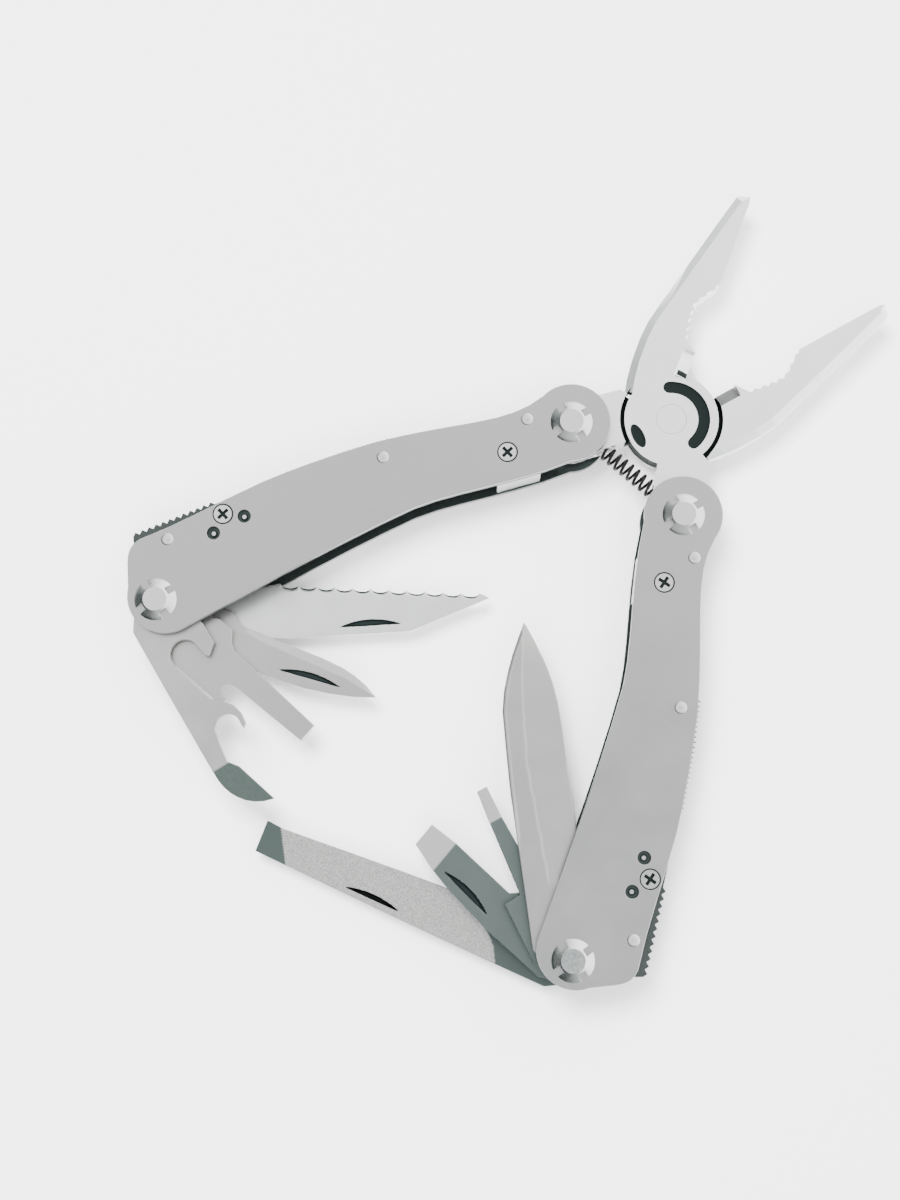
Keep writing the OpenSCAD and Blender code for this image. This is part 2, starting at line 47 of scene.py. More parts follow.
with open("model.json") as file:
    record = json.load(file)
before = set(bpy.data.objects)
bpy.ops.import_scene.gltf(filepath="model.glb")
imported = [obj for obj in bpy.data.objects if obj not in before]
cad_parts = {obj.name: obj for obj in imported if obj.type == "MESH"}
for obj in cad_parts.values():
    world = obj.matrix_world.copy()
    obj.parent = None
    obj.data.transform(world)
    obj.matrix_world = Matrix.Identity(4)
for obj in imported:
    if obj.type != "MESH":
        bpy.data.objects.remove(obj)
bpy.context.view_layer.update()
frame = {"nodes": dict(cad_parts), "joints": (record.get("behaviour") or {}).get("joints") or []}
JOINTS = {joint["name"]: joint for joint in frame["joints"]}
MM = 0.001

# Fasteners of a handle, in mm: along from the jaw pivot, and across towards the implements.
NECK_SCREW = (14.2, 0.5)
LOCK_SCREW = (71.2, -10.6)
LOCK_PINS = ((67.5, -8.5), (74.4, -7.8))
RIVETS = ((7.9, -4.1), (37.44, -8.5), (83.3, -10.3))

# Every implement turns on a round base of this radius, in mm.
BASE_RADIUS = 5.4

# Black painted as shade in recesses, gaps and holes, and as the dark reflection on the right jaw's cutter.
PAINTED_SHADE = (0.022, 0.030, 0.029, 1)
# Painted shade in nail nicks and scallop hollows, on the blades and on the file.
NICK_SHADE = (0.030, 0.042, 0.042, 1)
FILE_NICK_SHADE = (0.008, 0.010, 0.010, 1)
FILE_TIP = (0.095, 0.122, 0.116, 1)
OPENER_POINT = (0.105, 0.135, 0.125)
WIRE_BLACKS = ((0.004, 0.004, 0.004, 1), (0.015, 0.015, 0.015, 1))


# ------------------------------------------------------------------ handle and implement planes

class Plane:
    """A flat frame: a point p = (x, y) of it lies at origin + x * along + y * across, in mm."""

    def __init__(self, origin, along, across):
        self.origin, self.along, self.across = (np.array(v, float) for v in (origin, along, across))

    def place(self, x, y, z):
        """Points in metres from plane coordinates and heights in mm, as an array (..., 3)."""
        x, y, z = np.broadcast_arrays(np.asarray(x, float), y, z)
        flat = self.origin + x[..., None] * self.along + y[..., None] * self.across
        return np.concatenate([flat, z[..., None]], -1) * MM


def joint_spot(name):
    return np.array(JOINTS[name]["pos_m"][:2]) / MM


def handle_plane(hand):
    """From the jaw pivot towards the implement pivot; across points to the implements."""
    pivot = joint_spot(hand + "_handle_fold")
    end = joint_spot("can_opener_pivot" if hand == "left" else "knife_blade_pivot")
    along = (end - pivot) / np.linalg.norm(end - pivot)
    turn = 1 if hand == "left" else -1
    return Plane(pivot, along, (-turn * along[1], turn * along[0]))


def fastener_spots(places):
    """The same places on both handles, seen from above, in mm."""
    planes = [handle_plane(hand) for hand in ("left", "right")]
    return [plane.origin + u * plane.along + v * plane.across for plane in planes for u, v in places]


def middle_height():
    """Height of the tool's mid plane and half the thickness of the jaws, in mm."""
    lo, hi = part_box("left_jaw")
    return float((lo.z + hi.z) / 2 / MM), float((hi.z - lo.z) / 2 / MM)


def implement_plane(name, hand):
    """From the implement's pivot along it; across points to its nail side.

    A folded implement lies back along the handle, and its joint's upper limit is the angle it
    has been opened by."""
    joint = JOINTS[name + "_pivot"]
    angle = math.pi - math.radians(joint["range_deg"][1])
    handle = handle_plane(hand)
    along = math.cos(angle) * handle.along + math.sin(angle) * handle.across
    across = math.sin(angle) * handle.along - math.cos(angle) * handle.across
    return Plane(joint_spot(name + "_pivot"), along, across)


# ------------------------------------------------------------------ meshes

def new_piece(name, points, faces, smooth_deg=30, attributes=None):
    """A mesh object from points (metres) and faces, with its normals made to point outwards."""
    mesh = bpy.data.meshes.new(name)
    mesh.from_pydata(points.reshape(-1, 3).tolist(), [], faces)
    for key, values in (attributes or {}).items():
        layer = mesh.attributes.new(key, "FLOAT", "POINT")
        layer.data.foreach_set("value", np.asarray(values, np.float32).ravel())
    mesh.validate()
    work = bmesh.new()
    work.from_mesh(mesh)
    bmesh.ops.remove_doubles(work, verts=work.verts, dist=2e-7)
    bmesh.ops.recalc_face_normals(work, faces=work.faces)
    for edge in work.edges:
        edge.smooth = len(edge.link_faces) == 2 and edge.calc_face_angle(0) < math.radians(smooth_deg)
    for face in work.faces:
        face.smooth = True
    work.to_mesh(mesh)
    work.free()
    obj = bpy.data.objects.new(name, mesh)
    bpy.context.scene.collection.objects.link(obj)
    return obj


def ring_faces(rows, columns, start=0, caps=True):
    """Quads between rings of points, each ring closed, with both end rings capped."""
    i, j = np.meshgrid(np.arange(rows - 1), np.arange(columns), indexing="ij")
    k = (j + 1) % columns
    quads = np.stack([i * columns + j, i * columns + k, (i + 1) * columns + k, (i + 1) * columns + j], -1)
    faces = (quads.reshape(-1, 4) + start).tolist()
    if caps:
        faces.append((np.arange(columns)[::-1] + start).tolist())
        faces.append((np.arange(columns) + (rows - 1) * columns + start).tolist())
    return faces


def joined(parts):
    """One list of points and faces from several (points, faces) pairs."""
    points, faces, count = [], [], 0
    for part_points, part_faces in parts:
        flat = part_points.reshape(-1, 3)
        points.append(flat)
        faces.extend([[n + count for n in face] for face in part_faces])
        count += len(flat)
    return np.concatenate(points), faces


def turned_shape(plane, centre, radii, heights, sides=40):
    """A profile (radius, height) carried round an upright axis: angle times profile."""
    angle = np.arange(sides) * 2 * math.pi / sides
    radius, height = (np.asarray(v, float)[:, None] for v in (radii, heights))
    x = centre[0] + radius * np.cos(angle)
    y = centre[1] + radius * np.sin(angle)
    return plane.place(x, y, height + 0 * angle), ring_faces(len(radii), sides)


# ------------------------------------------------------------------ shader maths

class Socket:
    """A value or colour on its way through a node tree. Python's operators add Math nodes."""

    def __init__(self, tree, link):
        self.tree, self.link = tree, link

    def _plug(self, socket, value):
        if isinstance(value, Socket):
            self.tree.links.new(value.link, socket)
        elif value is not None:
            socket.default_value = value

    def node(self, kind, settings=None, out=0, **inputs):
        """Adds a node of a type, with its settings first and then its sockets."""
        made = self.tree.nodes.new(kind)
        for key, value in (settings or {}).items():
            setattr(made, key, value)
        for key, value in inputs.items():
            name = key.replace("_", " ")
            place = int(key[1:]) if key[0] == "i" and key[1:].isdigit() else name
            self._plug(made.inputs[place], value)
        return Socket(self.tree, made.outputs[out])

    def maths(self, operation, a, b=None, clamp=False):
        return self.node("ShaderNodeMath", {"operation": operation, "use_clamp": clamp}, i0=a, i1=b)

    def __add__(self, other):
        return self.maths("ADD", self, other)

    def __radd__(self, other):
        return self.maths("ADD", other, self)

    def __sub__(self, other):
        return self.maths("SUBTRACT", self, other)

    def __rsub__(self, other):
        return self.maths("SUBTRACT", other, self)

    def __mul__(self, other):
        return self.maths("MULTIPLY", self, other)

    def __rmul__(self, other):
        return self.maths("MULTIPLY", other, self)

    def __truediv__(self, other):
        return self.maths("DIVIDE", self, other)

    def clamped(self):
        return self.maths("ADD", self, 0.0, clamp=True)

    def power(self, e):
        return self.maths("POWER", self, e)

    def sine(self):
        return self.maths("SINE", self)

    def between(self, low, high):
        """0 at low, 1 at high, held outside them."""
        return ((self - low) * (1.0 / (high - low))).clamped()

    def noise(self, scale, detail=3.0, rough=0.5, stretch=(1, 1, 1)):
        moved = self.node("ShaderNodeMapping", Vector=self, Scale=stretch)
        return self.node("ShaderNodeTexNoise", Vector=moved, Scale=scale, Detail=detail, Roughness=rough)

    def away_from(self, spots):
        """Distance in mm, seen from above, to the nearest of some points."""
        x, y = self.axis("X"), self.axis("Y")
        nearest = None
        for a, b in spots:
            here = ((x - float(a)).power(2.0) + (y - float(b)).power(2.0)).power(0.5)
            nearest = here if nearest is None else self.maths("MINIMUM", nearest, here)
        return nearest

    def axis(self, which):
        return self.node("ShaderNodeSeparateXYZ", out="XYZ".index(which), Vector=self)

    def blend(self, a, b):
        """Colour a where self is 0, colour b where it is 1."""
        made = self.tree.nodes.new("ShaderNodeMix")
        made.data_type = "RGBA"
        self._plug(made.inputs[0], self)
        self._plug(made.inputs[6], a)
        self._plug(made.inputs[7], b)
        return Socket(self.tree, made.outputs[2])


def shades(colour, factor):
    return (*(min(1.0, c * factor) for c in colour[:3]), 1.0)


def new_material(name, metallic=1.0, anisotropic=0.0):
    """An empty node material: returns it, its shader, and the Object coordinates in mm."""
    material = bpy.data.materials.new(name)
    material.use_nodes = True
    tree = material.node_tree
    shader = tree.nodes["Principled BSDF"]
    shader.inputs["Metallic"].default_value = metallic
    shader.inputs["Anisotropic"].default_value = anisotropic
    coordinates = Socket(tree, tree.nodes.new("ShaderNodeTexCoord").outputs["Object"])
    spot = coordinates.node("ShaderNodeVectorMath", {"operation": "SCALE"}, Vector=coordinates, Scale=1000.0)
    material.diffuse_color = (0.6, 0.6, 0.6, 1)
    return material, shader, spot


def finish_with(spot, shader, colour=None, rough=None, height=None, strength=0.2, distance=0.05):
    """Feeds a colour, a roughness and a bump height in mm into the shader."""
    if colour is not None:
        spot._plug(shader.inputs["Base Color"], colour)
    if rough is not None:
        spot._plug(shader.inputs["Roughness"], rough)
    if height is not None:
        normal = spot.node("ShaderNodeBump", Height=height, Strength=strength, Distance=distance * MM)
        spot._plug(shader.inputs["Normal"], normal)


def blasted_steel(name, colour, rough=0.33):
    """Bead-blasted plate: fine pits, faint clouding and a few hairline handling marks."""
    material, shader, spot = new_material(name)
    pits = spot.noise(6.0, 3.0, 0.6)
    cloud = spot.noise(0.09, 3.0, 0.55)
    scratch = spot.noise(1.6, 2.0, 0.5, (0.12, 2.6, 1.0)).between(0.66, 0.72)
    tone = (cloud * 0.5 + pits * 0.5).between(0.3, 0.7)
    paint = tone.blend(shades(colour, 0.96), shades(colour, 1.03))
    finish_with(spot, shader, (scratch * 0.6).blend(paint, shades(colour, 1.08)),
                cloud.between(0.3, 0.7) * 0.06 + (rough - 0.03), pits, 0.10, 0.03)
    return material


def satin_steel(name, colour, rough=0.3, grain=(0.25, 7.0, 1.0), depth=0.10, dark=None):
    """Ground plate: fine parallel grain along one way of the piece, with light clouding.

    dark(spot) may give the share by which a place is painted black as shade, such as a recess."""
    material, shader, spot = new_material(name)
    lines = spot.noise(2.2, 3.0, 0.6, grain)
    cloud = spot.noise(0.12, 2.0, 0.5)
    tone = (lines * 0.6 + cloud * 0.4).between(0.35, 0.65)
    paint = tone.blend(shades(colour, 0.95), shades(colour, 1.03))
    roughness = lines.between(0.3, 0.7) * 0.08 + (rough - 0.04)
    if dark:
        share = dark(spot)
        paint = share.blend(paint, PAINTED_SHADE)
        roughness = roughness + share * 0.3
    finish_with(spot, shader, paint, roughness, lines, depth, 0.03)
    return material


def height_from_middle(spot):
    """Distance in mm above or below the mid plane of the tool."""
    return spot.maths("ABSOLUTE", spot.axis("Z") - middle_height()[0])


def jaw_recess_shade(spot):
    """The disc's sunk panels, and the groove round it, are painted dark as shade."""
    half = middle_height()[1]
    reach = spot.away_from([joint_spot("left_jaw_pivot")])
    height = height_from_middle(spot)
    panel = (1 - reach.between(9.2, 9.3)) * (1 - height.between(half - 0.22, half - 0.12))
    groove = reach.between(9.42, 9.48) * (1 - reach.between(10.45, 10.6))
    groove = groove * (1 - height.between(half - 0.5, half - 0.3))
    return spot.maths("MAXIMUM", panel, groove)


def recess_shade_and_cutter_reflection(spot):
    """Painted shade in the jaw's recesses, and a painted dark reflection on the right jaw's cutter (whose own
    axes are turned).
    """
    pivot, angle = joint_spot("left_jaw_pivot"), math.radians(JOINTS["right_jaw_pivot"]["range_deg"][1])
    x = float(pivot[0]) - spot.axis("X")
    y = spot.axis("Y") - float(pivot[1])
    across = x * math.cos(angle) + y * math.sin(angle)
    along = y * math.cos(angle) - x * math.sin(angle)
    # The cutter's bevel, facing the other jaw, is painted dark as a reflection, at 0.80 of the black.
    block = along.between(8.5, 8.6) * (1 - along.between(14.62, 14.68)) * across.between(-2.62, -2.5)
    return spot.maths("MAXIMUM", jaw_recess_shade(spot), block * 0.80)


def pin_shade(spot):
    """A lock pin, sunk in its hole, is painted dark as shade, except in the middle of its end."""
    return spot.away_from(fastener_spots(LOCK_PINS)).between(0.36, 0.46)


def screw_recess_shade(spot):
    """A screw's cross and the ring round its head are painted dark as shade."""
    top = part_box("left_front_cover")[1].z / MM - middle_height()[0]
    cross = 1 - height_from_middle(spot).between(top - 0.32, top - 0.22)
    ring = spot.away_from(fastener_spots((NECK_SCREW, LOCK_SCREW))).between(1.70, 1.86)
    return spot.maths("MAXIMUM", cross, ring)


def attribute(spot, name):
    return spot.node("ShaderNodeAttribute", {"attribute_name": name}, out=2)


def blade_steel(name, colour, ground, rough=0.28):
    """Satin flats with a brighter, cross-ground bevel where the piece's ground attribute is 1."""
    material, shader, spot = new_material(name)
    mask = attribute(spot, "ground")
    # The dark attribute paints shade in nail nicks and along the scallops' hollows.
    dark = attribute(spot, "dark").between(0.0, 0.05)
    lines = spot.noise(2.4, 3.0, 0.6, (5.0, 0.4, 1.0))
    cloud = spot.noise(0.15, 2.0, 0.5)
    flat = cloud.between(0.35, 0.65).blend(shades(colour, 0.96), shades(colour, 1.03))
    bevel = lines.between(0.35, 0.65).blend(shades(ground, 0.95), shades(ground, 1.04))
    paint = dark.blend(mask.blend(flat, bevel), NICK_SHADE)
    finish_with(spot, shader, paint, (rough + 0.04) - mask * 0.04 + dark * 0.3, lines, 0.05, 0.02)
    return material


def file_steel(name, colour):
    """Crosscut file teeth: two sets of slanting ridges that catch the light at random."""
    material, shader, spot = new_material(name)
    mask = attribute(spot, "ground")
    # The dark attribute paints shade in the nail nick.
    dark = attribute(spot, "dark").between(0.0, 0.05)
    x, y = spot.axis("X"), spot.axis("Y")
    ridges = (x * 6.4 + y * 3.6).sine() * (x * 4.1 - y * 6.2).sine()
    sparkle = spot.noise(3.4, 2.5, 0.65)
    tone = (sparkle * 0.95 + ridges * 0.03).between(0.34, 0.64)
    teeth = tone.blend(shades(colour, 0.72), shades(colour, 1.25))
    paint = mask.blend(FILE_TIP, teeth)
    height = (sparkle + ridges * 0.2) * mask
    finish_with(spot, shader, dark.blend(paint, FILE_NICK_SHADE),
                0.55 - mask * 0.10, height, 0.55, 0.10)
    return material


def toothed_steel(name, colour, low, high):
    """Dark spring steel, mottled between two shades where its pits run from low to high; its darkness is
    partly painted shade inside the handles.
    """
    material, shader, spot = new_material(name)
    pits = spot.noise(4.0, 3.0, 0.6)
    tone = pits.between(low, high)
    finish_with(spot, shader, tone.blend(shades(colour, 0.75), shades(colour, 1.15)),
                pits * 0.2 + 0.30, pits, 0.12, 0.04)
    return material


def black_wire(name):
    """Oxide-black spring wire with a dull sheen."""
    material, shader, spot = new_material(name, metallic=0.6)
    pits = spot.noise(7.0, 3.0, 0.6)
    finish_with(spot, shader, pits.between(0.3, 0.7).blend(*WIRE_BLACKS),
                pits * 0.2 + 0.28, pits, 0.1, 0.02)
    return material


def opener_steel(name, colour, ground_colour):
    """Satin steel whose sharpened point is ground dark past a line across the piece."""
    material, shader, spot = new_material(name)
    plane = implement_plane("can_opener", "left")
    x = spot.axis("X") - float(plane.origin[0])
    y = spot.axis("Y") - float(plane.origin[1])
    along = x * float(plane.along[0]) + y * float(plane.along[1])
    lines = spot.noise(2.2, 3.0, 0.6, (0.4, 6.0, 1.0))
    cloud = spot.noise(0.12, 2.0, 0.5)
    mask = along.between(34.9, 35.3)
    flat = cloud.between(0.35, 0.65).blend(shades(colour, 0.93), shades(colour, 1.05))
    ground = lines.between(0.35, 0.65).blend(shades(ground_colour, 0.88), shades(ground_colour, 1.10))
    finish_with(spot, shader, mask.blend(flat, ground),
                lines * 0.12 + 0.26, lines, 0.08, 0.03)
    return material


# ------------------------------------------------------------------ settings

def colour_setting(name, text, value):
    return bpy.props.FloatVectorProperty(name=name, description=text, subtype="COLOR", size=3,
                                         default=value, min=0, max=1)


def length_setting(name, text, value, low, high):
    return bpy.props.FloatProperty(name=name, description=text, default=value, min=low, max=high)


class MULTITOOL_PG_finishes(bpy.types.PropertyGroup):
    cover: colour_setting("Cover steel", "Bead-blasted cover plates", (0.405, 0.408, 0.400))
    # Liners are dark steel, darkened further as painted shade of the handle's channel.
    liner: colour_setting("Liner steel", "Liner plates, seen at their edges", (0.055, 0.072, 0.069))
    jaw: colour_setting("Jaw steel", "Pliers head and its rivet", (0.93, 0.93, 0.925))
    bolt: colour_setting("Bolt steel", "Pivot bolts, nuts and washers", (0.62, 0.625, 0.615))
    blade: colour_setting("Blade steel", "Flats of the knife blades", (0.46, 0.46, 0.452))
    bevel: colour_setting("Ground bevel", "Ground bevels of the blades and driver tips", (0.50, 0.50, 0.492))
    bright: colour_setting("Bright blade", "The serrated blade", (0.78, 0.79, 0.78))
    driver: colour_setting("Driver steel", "Shanks of the dark drivers", (0.125, 0.155, 0.148))
    # Lock bars are dark spring steel, darkened further as painted shade inside the handle.
    lock: colour_setting("Lock bar steel", "Toothed lock bars", (0.070, 0.082, 0.080))


class MULTITOOL_PG_sizes(bpy.types.PropertyGroup):
    edge_round: length_setting("Edge rounding", "Rounding of the plates' edges, mm", 0.42, 0.05, 0.55)
    coil_radius: length_setting("Coil radius", "Outer radius of the return spring, mm", 1.8, 1.0, 1.85)
    wire_radius: length_setting("Wire radius", "Radius of the spring's wire, mm", 0.32, 0.1, 0.32)
    coil_turns: bpy.props.IntProperty(name="Turns", description="Turns of the return spring",
                                      default=8, min=4, max=10)
    nick_depth: length_setting("Nail nick depth", "Depth of the blades' nail nicks, mm", 0.45, 0.1, 0.6)
    dome_radius: length_setting("Rivet dome radius", "Radius of a domed rivet, mm", 1.25, 0.8, 1.6)


def finishes():
    return bpy.context.scene.multitool_finishes


def sizes():
    return bpy.context.scene.multitool_sizes


MATERIALS = {}


def material(key):
    """Each finish is made once, when it is first asked for."""
    if key not in MATERIALS:
        f = finishes()
        makers = {
            "cover": lambda: blasted_steel("Blasted cover steel", f.cover),
            "liner": lambda: toothed_steel("Liner edge steel", f.liner, 0.3, 0.7),
            "jaw": lambda: satin_steel("Satin jaw steel", f.jaw, 0.36, (3.0, 0.8, 1.0), 0.03, jaw_recess_shade),
            "bolt": lambda: satin_steel("Polished bolt steel", f.bolt, 0.22, (1.0, 1.0, 1.0), 0.04),
            "plain": lambda: satin_steel("Plain bright steel", f.bolt, 0.30, (1.0, 1.0, 1.0), 0.06),
            "screw": lambda: satin_steel("Screw steel", f.bolt, 0.26, (2.0, 2.0, 1.0), 0.05, screw_recess_shade),
            "blade": lambda: blade_steel("Blade steel", f.blade, f.bevel),
            "driver": lambda: blade_steel("Driver steel", f.driver, f.bevel, 0.34),
            "file": lambda: file_steel("Crosscut file steel", f.blade),
            "right_jaw": lambda: satin_steel("Satin jaw steel with painted shade and reflection", f.jaw, 0.36,
                                             (3.0, 0.8, 1.0), 0.03, recess_shade_and_cutter_reflection),
            "pin": lambda: satin_steel("Lock pin steel", f.bolt, 0.26, (2.0, 2.0, 1.0), 0.05, pin_shade),
            "flat": lambda: satin_steel("Satin flat steel", f.blade, 0.30, (1.2, 3.0, 1.0), 0.05),
            "dome": lambda: blasted_steel("Dome rivet steel", f.bolt, 0.34),
            "serrated": lambda: blade_steel("Bright blade steel", f.bright, f.bright, 0.30),
            "opener": lambda: opener_steel("Opener steel", f.blade, OPENER_POINT),
            "lock": lambda: toothed_steel("Lock bar spring steel", f.lock, 0.3, 0.7),
            "wire": lambda: black_wire("Black spring wire"),
        }
        MATERIALS[key] = makers[key]()
    return MATERIALS[key]


def dress(node, key, rounding=None):
    """Gives a CAD node its finish, and rounds its sharp edges once its loose triangles are welded."""
    obj = frame["nodes"][node]
    obj.data.materials.clear()
    obj.data.materials.append(material(key))
    if rounding:
        weld = obj.modifiers.new("Weld", "WELD")
        weld.merge_threshold = 1e-6
        bevel = obj.modifiers.new("Edges", "BEVEL")
        bevel.width = rounding * MM
        bevel.segments = 3
        bevel.limit_method = "ANGLE"
        bevel.angle_limit = math.radians(35)
        bevel.harden_normals = True
        bevel.loop_slide = False
    return obj


def hand_in(obj, body, slot, key, *nodes):
    """Finishes a new piece: its material, its body and the CAD nodes it stands for, which are hidden; slot is
    not used.
    """
    obj.data.materials.append(material(key))
    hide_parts(*nodes)
    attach(obj, body)
    return obj


# ------------------------------------------------------------------ implements

def blade_sections(plane, z_low, z_high, outline, thickness, dips=(), step=0.45, rows=44, masks=None):
    """A flat implement as a surface of two parameters, the station along it and the share across.

    outline(x) gives its lower and upper edge, thickness(x, w) its local share of the full
    thickness, and each dip(x, w) how far a point lies inside a nail nick, in mm."""
    x_from, x_to, edges = outline
    x = np.unique(np.concatenate([np.arange(x_from, x_to, step), edges["stops"], [x_to]]))
    low = np.interp(x, *np.array(edges["low"], float).T)
    high = np.interp(x, *np.array(edges["high"], float).T)
    if "bite" in edges:
        low = low + edges["bite"](x)
    high = np.maximum(high, low + 0.02)
    share = np.concatenate([[0, 0.004, 0.012], np.linspace(0.03, 0.97, rows), [0.988, 0.996, 1]])
    w = low[:, None] + (high - low)[:, None] * share
    xx = x[:, None] + 0 * w
    middle, half = (z_low + z_high) / 2, (z_high - z_low) / 2
    body = thickness(xx, w, low[:, None], high[:, None])
    rim = np.minimum(w - low[:, None], high[:, None] - w)
    body = body - 0.10 * np.clip(1 - rim / 0.10, 0, 1) * (body > 0.3)
    dip = np.max([d(xx, w) for d in dips], axis=0) if dips else np.full_like(w, -1.0)
    sunk = sizes().nick_depth * np.clip(dip / 0.3, 0, 1)
    top = plane.place(xx, w, middle + half * body - sunk)
    bottom = plane.place(xx, w, middle - half * body)[:, ::-1]
    rings = np.concatenate([top, bottom], 1)
    marks = {}
    for key, mask in (masks or {}).items():
        value = mask(xx, w, low[:, None], high[:, None], dip)
        marks[key] = np.concatenate([value, value[:, ::-1]], 1)
    return rings, ring_faces(*rings.shape[:2]), marks


def base_disc(low, high):
    """The outline's two edges round the pivot: half a circle that runs into the given edges."""
    a = np.linspace(math.pi, math.pi / 2, 14)
    arc = BASE_RADIUS * np.stack([np.cos(a), np.sin(a)], 1)
    high_side = [tuple(p) for p in arc] + list(high)
    low_side = [(p[0], -p[1]) for p in arc if p[1] < -low[0][1] + 1e-6] + list(low)
    return {"low": low_side, "high": high_side, "stops": np.unique([p[0] for p in low_side + high_side])}


def nick(x0, w0, x1, w1, bulge):
    """A crescent on the chord from (x0, w0) to (x1, w1): mm inside it, and negative outside it.

    The chord and the parabola bulge * 4 t (1 - t) over it are its two walls."""
    start, way = np.array([x0, w0]), np.array([x1 - x0, w1 - w0])
    length = np.linalg.norm(way)
    way = way / length
    side = math.copysign(1, bulge)

    def inside(x, w):
        t = ((x - start[0]) * way[0] + (w - start[1]) * way[1]) / length
        c = side * ((w - start[1]) * way[0] - (x - start[0]) * way[1])
        return np.minimum(c, abs(bulge) * 4 * t * (1 - t) - c)
    return inside


def nothing(x, w, low, high, dip):
    return np.zeros_like(w)


# Used as the dark mask: the nail nick is painted with shade.
def in_nick(x, w, low, high, dip):
    return dip


def make_implement(name, hand, key, slot, outline, thickness, dips=(), masks=None, **more):
    lo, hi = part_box(name)
    plane = implement_plane(name, hand)
    points, faces, marks = blade_sections(plane, lo.z / MM, hi.z / MM, outline, thickness, dips,
                                          masks=masks, **more)
    obj = new_piece(name + "_ground", points, faces, 24, marks)
    return hand_in(obj, name, slot, key, name)


def make_knife():
    """Spear-shaped blade: full thickness at the back, ground from a line that drops at the plunge."""
    tip = 66.6
    edges = base_disc([(0, -4), (3, -4.4), (14.5, -3.6), (15.5, -4.4), (30, -4.5), (45.6, -4.5),
                            (50, -4.4), (54, -3.9), (58, -3.0), (62, -1.75), (65, -0.65), (tip, 0)],
                      [(0, BASE_RADIUS), (3, 7.3), (24, 7.3), (33.6, 7.4), (42, 7.1), (49.6, 6.7),
                       (53.5, 5.85), (57, 4.65), (60.5, 3.15), (63.5, 1.65), (tip, 0)])

    def grind_line(x):
        return np.interp(x, [0, 15, 39, 52, tip], [2.2, 2.4, 3.4, 2.4, 0.3])

    def thickness(x, w, low, high):
        start = np.clip((x - 14.2) / 2.0, 0, 1)
        fall = np.clip((grind_line(x) - w) / np.maximum(grind_line(x) - low, 0.3), 0, 1)
        spine = np.clip((w - high + 0.75) / 0.75, 0, 1) * np.clip((x - 22) / 10, 0, 1)
        return 1 - 0.34 * start * fall - 0.06 * start * (fall > 0) - 0.42 * spine

    def ground(x, w, low, high, dip):
        line = np.abs(w - grind_line(x)) < 0.35
        plunge = (np.abs(x - 14.9) < 0.45) & (w < grind_line(x))
        spine = (w > high - 0.75) & (x > 24)
        return np.clip(line * 0.35 + plunge * 0.8 + spine * 1.0, 0, 1) * (x > 14.2)

    make_implement("knife_blade", "right", "blade", "blade_steel", (-BASE_RADIUS, tip, edges), thickness,
                   masks={"ground": ground, "dark": nothing})


def make_serrated():
    """Sheepsfoot blade with round scallops along its whole edge and a nail nick by its back."""
    tip, heel, teeth, depth = 66.1, 24.0, 11, 0.8
    edges = base_disc([(0, -4), (3, -4.4), (14, -4.3), (20, -3.0), (heel, -3.7),
                       (tip - 2, -0.6), (tip, 0.4)],
                      [(0, BASE_RADIUS), (3, 7.3), (23, 7.5), (tip - 16, 6.7), (tip - 4, 2.0), (tip, 0.4)])

    def bite(x):
        share = (x - heel) / (tip - 2 - heel)
        inside = (share > 0) & (share < 1)
        phase = np.mod(share * teeth, 1.0)
        return np.where(inside, depth * np.sqrt(np.clip(1 - (2 * phase - 1) ** 2, 0, 1)), 0)

    edges["bite"] = bite
    cusps = heel + (tip - 2 - heel) * np.arange(teeth + 1) / teeth
    edges["stops"] = np.concatenate([edges["stops"], cusps])

    def scallop(x, w, low):
        """How far into a scallop's own hollow grind: 1 at the bitten edge, 0 at 0.55 mm from it."""
        middle = bite(x) / depth
        return np.clip(1 - (w - low) / 0.55, 0, 1) * np.clip(middle * 1.4 - 0.35, 0, 1)

    def thickness(x, w, low, high):
        return 1 - 0.55 * scallop(x, w, low)

    # Painted shade in the nail nick and along the scallops' hollow edge.
    def dark(x, w, low, high, dip):
        return np.maximum(dip, 0.12 * scallop(x, w, low) - 0.01)

    make_implement("serrated_blade", "left", "serrated", "blade_steel", (-BASE_RADIUS, tip, edges), thickness,
                   [nick(35.5, 5.6, 48.4, 5.2, -1.3)],
                   {"ground": nothing, "dark": dark}, step=0.16, rows=48)


def make_pen():
    """Small pen blade with a long crescent nick, ground along its edge."""
    tip = 47.3
    edges = base_disc([(0, -4), (3, -4.4), (14, -4.2), (17, -2.2), (34.3, -2.6), (38.5, -2.4),
                            (41.5, -1.9), (44.6, -0.9), (tip, 0.5)],
                      [(0, BASE_RADIUS), (3, 6.4), (12, 6.0), (18, 4.9), (28.3, 4.8), (33.6, 4.3),
                       (38.6, 3.4), (43.4, 2.1), (tip, 0.5)])

    def grind_line(x):
        return np.interp(x, [16, 22, 40, tip], [-1.6, -0.9, -0.6, 0.5])

    def thickness(x, w, low, high):
        line = grind_line(x)
        fall = np.clip((line - w) / np.maximum(line - low, 0.2), 0, 1)
        return 1 - 0.4 * fall * np.clip((x - 17) / 3, 0, 1)

    def ground(x, w, low, high, dip):
        return ((w < grind_line(x)) & (x > 18)) * 0.6

    make_implement("pen_blade", "left", "blade", "blade_steel", (-BASE_RADIUS, tip, edges), thickness,
                   [nick(26.8, 3.1, 40.3, 1.5, -1.3)],
                   {"ground": ground, "dark": in_nick}, step=0.25)


def ground_tip(start, fade, tip, thin):
    """Full thickness up to start, then a straight taper that takes the share thin off the end."""
    def thickness(x, w, low, high):
        return 1 - thin * np.clip((x - start) / (tip - start), 0, 1)

    def ground(x, w, low, high, dip):
        return np.clip((x - start) / fade, 0, 1)
    return thickness, ground


